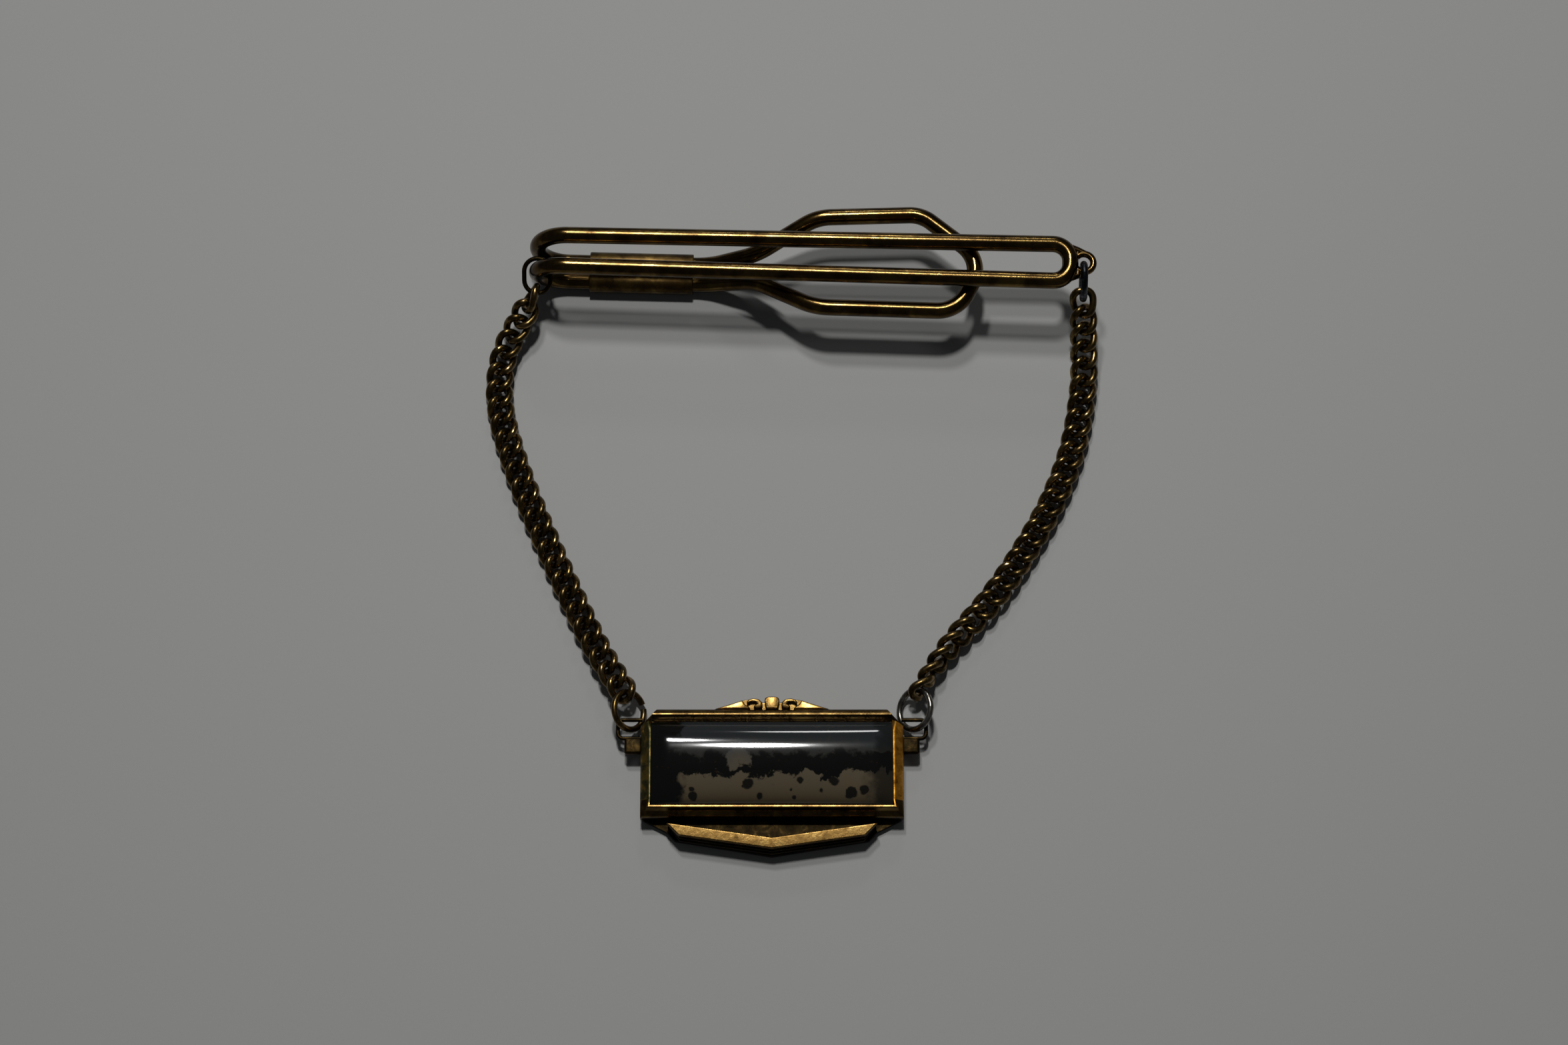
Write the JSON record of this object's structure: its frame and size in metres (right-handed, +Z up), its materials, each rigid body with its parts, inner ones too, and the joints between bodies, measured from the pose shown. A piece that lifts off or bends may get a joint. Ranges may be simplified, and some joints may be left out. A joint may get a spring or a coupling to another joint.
{
  "type": "tie chain",
  "caption": "Sprung wire tie slide with a paddle, two curb chains and a long domed-stone pendant in a bezel frame with crest and pointed trim.",
  "frame": {"origin": "centre of the pendant's flat back, on the surface it lies on", "axes": "+X to the right along the slide, +Y from the pendant to the slide, +Z up from the surface, out of the stone's face"},
  "size_m": [0.0594, 0.063, 0.0082],
  "materials": {
    "gilt_wire": "worn gilt",
    "gilt_frame": "worn gilt",
    "aged_brass": "tarnished",
    "chain_bronze": "tarnished",
    "grey_steel": "worn",
    "agate": "polished, opaque"
  },
  "bodies": {
    "clip_frame": {"front_bar_wire": "gilt_wire", "right_eye": "gilt_wire"},
    "clip_paddle": {"back_paddle_wire": "gilt_wire", "sleeve": "gilt_wire"},
    "row_01": {"left_clip_ring": "aged_brass", "right_connector_link": "grey_steel"},
    "row_02": {"chain_links_02": "chain_bronze"},
    "row_03": {"chain_links_03": "chain_bronze"},
    "row_04": {"chain_links_04": "chain_bronze"},
    "row_05": {"chain_links_05": "chain_bronze"},
    "row_06": {"chain_links_06": "chain_bronze"},
    "row_07": {"chain_links_07": "chain_bronze"},
    "row_08": {"chain_links_08": "chain_bronze"},
    "row_09": {"chain_links_09": "chain_bronze"},
    "row_10": {"chain_links_10": "chain_bronze"},
    "row_11": {"chain_links_11": "chain_bronze"},
    "row_12": {"chain_links_12": "chain_bronze"},
    "row_13": {"chain_links_13": "chain_bronze"},
    "row_14": {"chain_links_14": "chain_bronze"},
    "row_15": {"chain_links_15": "chain_bronze"},
    "row_16": {"chain_links_16": "chain_bronze"},
    "row_17": {"chain_links_17": "chain_bronze"},
    "row_18": {"chain_links_18": "chain_bronze"},
    "row_19": {"chain_links_19": "chain_bronze"},
    "row_20": {"chain_links_20": "chain_bronze"},
    "row_21": {"chain_links_21": "chain_bronze"},
    "row_22": {"chain_links_22": "chain_bronze"},
    "row_23": {"chain_links_23": "chain_bronze"},
    "row_24": {"chain_links_24": "chain_bronze"},
    "row_25": {"chain_links_25": "chain_bronze"},
    "row_26": {"chain_links_26": "chain_bronze"},
    "row_27": {"chain_links_27": "chain_bronze"},
    "pendant_rings": {"left_jump_ring": "aged_brass", "right_jump_ring": "grey_steel"},
    "pendant": {"back_plate": "aged_brass", "bezel_frame": "gilt_frame", "agate_stone": "agate", "top_crest": "gilt_frame", "bottom_trim": "gilt_frame", "left_lug": "aged_brass", "right_lug": "aged_brass"}
  },
  "joints": [
    {"name": "paddle_spring", "type": "hinge", "parent": "clip_frame", "child": "clip_paddle", "pos_m": [-0.0236, 0.0495, 0.00408], "axis": [0.0262, 0.9997, 0], "range_deg": [0, 8], "stiffness_Nm_per_rad": 0.6},
    {"name": "row_01_hinge", "type": "hinge", "parent": "clip_frame", "child": "row_01", "pos_m": [0.00359, 0.04757, 0.00586], "axis": [0.9985, -0.0059, 0.0544], "range_deg": [-18, 4]},
    {"name": "row_02_hinge", "type": "hinge", "parent": "row_01", "child": "row_02", "pos_m": [0.00348, 0.04598, 0.0047], "axis": [-0.9993, 0.019, -0.0323], "range_deg": [-18, 15]},
    {"name": "row_03_hinge", "type": "hinge", "parent": "row_02", "child": "row_03", "pos_m": [0.00317, 0.04458, 0.00387], "axis": [0.9995, -0.0184, 0.0253], "range_deg": [-12, 12]},
    {"name": "row_04_hinge", "type": "hinge", "parent": "row_03", "child": "row_04", "pos_m": [0.00281, 0.04323, 0.00301], "axis": [-0.9996, 0.0194, -0.0195], "range_deg": [-12, 10]},
    {"name": "row_05_hinge", "type": "hinge", "parent": "row_04", "child": "row_05", "pos_m": [0.00242, 0.04188, 0.00216], "axis": [0.9996, -0.022, 0.0155], "range_deg": [-10, 12]},
    {"name": "row_06_hinge", "type": "hinge", "parent": "row_05", "child": "row_06", "pos_m": [0.00212, 0.04038, 0.00153], "axis": [-0.9997, 0.0224, -0.0097], "range_deg": [-12, 10]},
    {"name": "row_07_hinge", "type": "hinge", "parent": "row_06", "child": "row_07", "pos_m": [0.00191, 0.03874, 0.00114], "axis": [0.9997, -0.0225, 0.0055], "range_deg": [-10, 12]},
    {"name": "row_08_hinge", "type": "hinge", "parent": "row_07", "child": "row_08", "pos_m": [0.00175, 0.03705, 0.00098], "axis": [-0.9997, 0.0225, -0.0028], "range_deg": [-12, 12]},
    {"name": "row_09_hinge", "type": "hinge", "parent": "row_08", "child": "row_09", "pos_m": [0.00167, 0.03536, 0.00092], "axis": [0.9997, -0.0227, 0.0013], "range_deg": [-12, 12]},
    {"name": "row_10_hinge", "type": "hinge", "parent": "row_09", "child": "row_10", "pos_m": [0.00165, 0.03368, 0.00089], "axis": [-0.9997, 0.0232, -0.0007], "range_deg": [-12, 12]},
    {"name": "row_11_hinge", "type": "hinge", "parent": "row_10", "child": "row_11", "pos_m": [0.00167, 0.03202, 0.00087], "axis": [0.9997, -0.0241, 0], "range_deg": [-12, 12]},
    {"name": "row_12_hinge", "type": "hinge", "parent": "row_11", "child": "row_12", "pos_m": [0.00166, 0.0304, 0.00087], "axis": [-0.9997, 0.0249, 0.0005], "range_deg": [-12, 12]},
    {"name": "row_13_hinge", "type": "hinge", "parent": "row_12", "child": "row_13", "pos_m": [0.00163, 0.02879, 0.00087], "axis": [0.9997, -0.0255, -0.0003], "range_deg": [-12, 12]},
    {"name": "row_14_hinge", "type": "hinge", "parent": "row_13", "child": "row_14", "pos_m": [0.00158, 0.02721, 0.00088], "axis": [-0.9997, 0.0259, 0.0001], "range_deg": [-12, 12]},
    {"name": "row_15_hinge", "type": "hinge", "parent": "row_14", "child": "row_15", "pos_m": [0.00152, 0.02564, 0.00088], "axis": [0.9997, -0.026, 0.0001], "range_deg": [-12, 12]},
    {"name": "row_16_hinge", "type": "hinge", "parent": "row_15", "child": "row_16", "pos_m": [0.00144, 0.0241, 0.00089], "axis": [-0.9997, 0.0256, -0.0003], "range_deg": [-12, 12]},
    {"name": "row_17_hinge", "type": "hinge", "parent": "row_16", "child": "row_17", "pos_m": [0.00134, 0.02258, 0.00089], "axis": [0.9997, -0.0249, 0.0007], "range_deg": [-12, 12]},
    {"name": "row_18_hinge", "type": "hinge", "parent": "row_17", "child": "row_18", "pos_m": [0.00123, 0.02107, 0.00091], "axis": [-0.9997, 0.0238, -0.0014], "range_deg": [-12, 12]},
    {"name": "row_19_hinge", "type": "hinge", "parent": "row_18", "child": "row_19", "pos_m": [0.00112, 0.01958, 0.00094], "axis": [0.9997, -0.0223, 0.0026], "range_deg": [-12, 12]},
    {"name": "row_20_hinge", "type": "hinge", "parent": "row_19", "child": "row_20", "pos_m": [0.00098, 0.0181, 0.00098], "axis": [-0.9998, 0.0202, -0.0043], "range_deg": [-12, 12]},
    {"name": "row_21_hinge", "type": "hinge", "parent": "row_20", "child": "row_21", "pos_m": [0.00084, 0.01664, 0.00103], "axis": [0.9998, -0.0174, 0.006], "range_deg": [-12, 12]},
    {"name": "row_22_hinge", "type": "hinge", "parent": "row_21", "child": "row_22", "pos_m": [0.00066, 0.0152, 0.0011], "axis": [-0.9999, 0.0132, -0.0073], "range_deg": [-12, 12]},
    {"name": "row_23_hinge", "type": "hinge", "parent": "row_22", "child": "row_23", "pos_m": [0.00044, 0.0138, 0.00118], "axis": [0.9999, -0.0065, 0.0084], "range_deg": [-12, 12]},
    {"name": "row_24_hinge", "type": "hinge", "parent": "row_23", "child": "row_24", "pos_m": [0.00023, 0.01241, 0.00128], "axis": [-1, -0.0006, -0.009], "range_deg": [-12, 12]},
    {"name": "row_25_hinge", "type": "hinge", "parent": "row_24", "child": "row_25", "pos_m": [0.00009, 0.011, 0.00142], "axis": [1, 0.0053, 0.0081], "range_deg": [-12, 12]},
    {"name": "row_26_hinge", "type": "hinge", "parent": "row_25", "child": "row_26", "pos_m": [0.00002, 0.00958, 0.0016], "axis": [-1, -0.0075, -0.005], "range_deg": [-12, 12]},
    {"name": "row_27_hinge", "type": "hinge", "parent": "row_26", "child": "row_27", "pos_m": [-0.00002, 0.00816, 0.00181], "axis": [1, 0.0083, 0.0003], "range_deg": [-12, 12]},
    {"name": "pendant_rings_hinge", "type": "hinge", "parent": "row_27", "child": "pendant_rings", "pos_m": [-0.00007, 0.00675, 0.00201], "axis": [-0.9999, -0.0094, 0.0049], "range_deg": [-18, 15]},
    {"name": "pendant_hinge", "type": "hinge", "parent": "pendant_rings", "child": "pendant", "pos_m": [0, 0.0034, 0.00165], "axis": [1, 0, 0], "range_deg": [-18, 18]}
  ]
}
